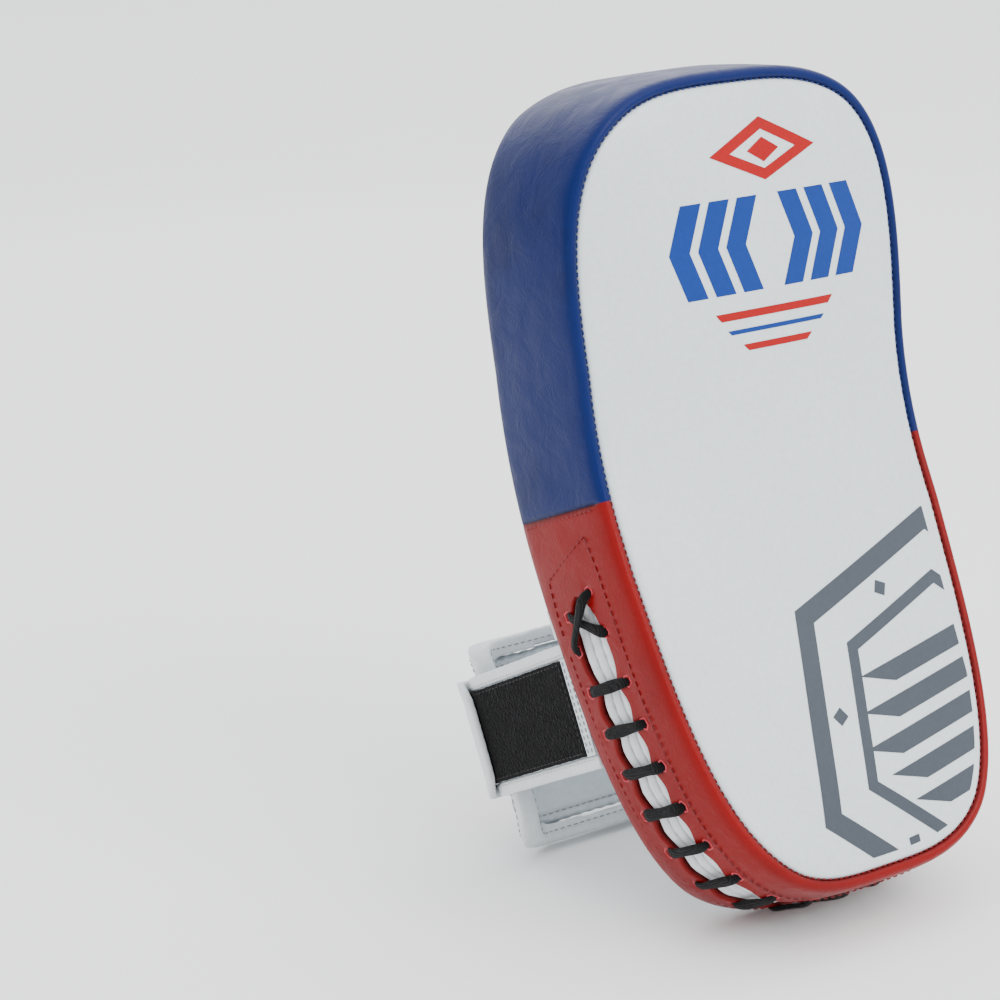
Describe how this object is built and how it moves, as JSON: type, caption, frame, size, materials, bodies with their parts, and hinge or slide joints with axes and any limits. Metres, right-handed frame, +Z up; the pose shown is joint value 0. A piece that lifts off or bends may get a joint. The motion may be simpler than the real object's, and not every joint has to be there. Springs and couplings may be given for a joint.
{
  "type": "curved thai pad",
  "caption": "Curved kick-and-punch pad with laced gusset, padded forearm cuff, threaded strap with hook-and-loop tail and a hand grip, standing leaned on its strap loop.",
  "frame": {"origin": "floor level, on the pad's lengthwise symmetry plane at the middle of the overall depth, with the pad standing on its bottom rim and leaning back on its strap loop", "axes": "+Z up, along the standing pad's long side; +X to the side whose seam carries the base flap and slotted wing; -Y the strike face, +Y the back with strap loop and grip"},
  "size_m": [0.1902, 0.2405, 0.3769],
  "materials": {
    "white_leather": "semi-gloss",
    "white_piping": "semi-gloss",
    "blue_leather": "semi-gloss",
    "red_leather": "semi-gloss",
    "lace_black": "matte",
    "hook_loop": "matte",
    "foam": "matte",
    "steel": "polished"
  },
  "bodies": {
    "pad": {"face_panel": "white_leather", "strike_foam": "foam", "core_foam": "foam", "backing_foam": "foam", "back_centre": "white_leather", "stripe_left": "blue_leather", "stripe_right": "blue_leather", "side_panel_left": "white_leather", "side_panel_right": "white_leather", "stripe_piping_left": "white_piping", "stripe_piping_right": "white_piping", "gusset_blue": "blue_leather", "gusset_red": "red_leather", "slot_lining": "white_leather", "lace": "lace_black", "strap_band": "white_leather", "strap_binding": "white_piping", "root_strip": "white_leather", "seam_tab": "white_leather", "loop_patch": "hook_loop", "keeper": "white_leather", "cuff_pad": "white_leather", "cuff_piping": "white_piping", "base_flap": "white_leather", "flap_piping": "white_piping", "wing_pad": "white_leather", "wing_piping": "white_piping", "slot_rim": "white_leather", "triangle_patch": "white_leather", "rivet_cap": "steel", "rivet_post": "steel", "rivet_washer": "steel", "grip_anchor_left": "white_leather", "grip_anchor_right": "white_leather", "grip_rivets": "steel"},
    "tail": {"strap_tail": "white_leather", "tail_binding": "white_piping", "hook_patch": "hook_loop"},
    "grip": {"grip_handle": "white_leather"}
  },
  "joints": [
    {"name": "tail_peel", "type": "hinge", "parent": "pad", "child": "tail", "pos_m": [0.0264, 0.10086, 0.04716], "axis": [0, -0.4226, -0.9063], "range_deg": [0, 150]},
    {"name": "grip_swing", "type": "hinge", "parent": "pad", "child": "grip", "pos_m": [0, 0.04895, 0.22736], "axis": [1, 0, 0], "range_deg": [-28, 28], "stiffness_Nm_per_rad": 0.8}
  ]
}
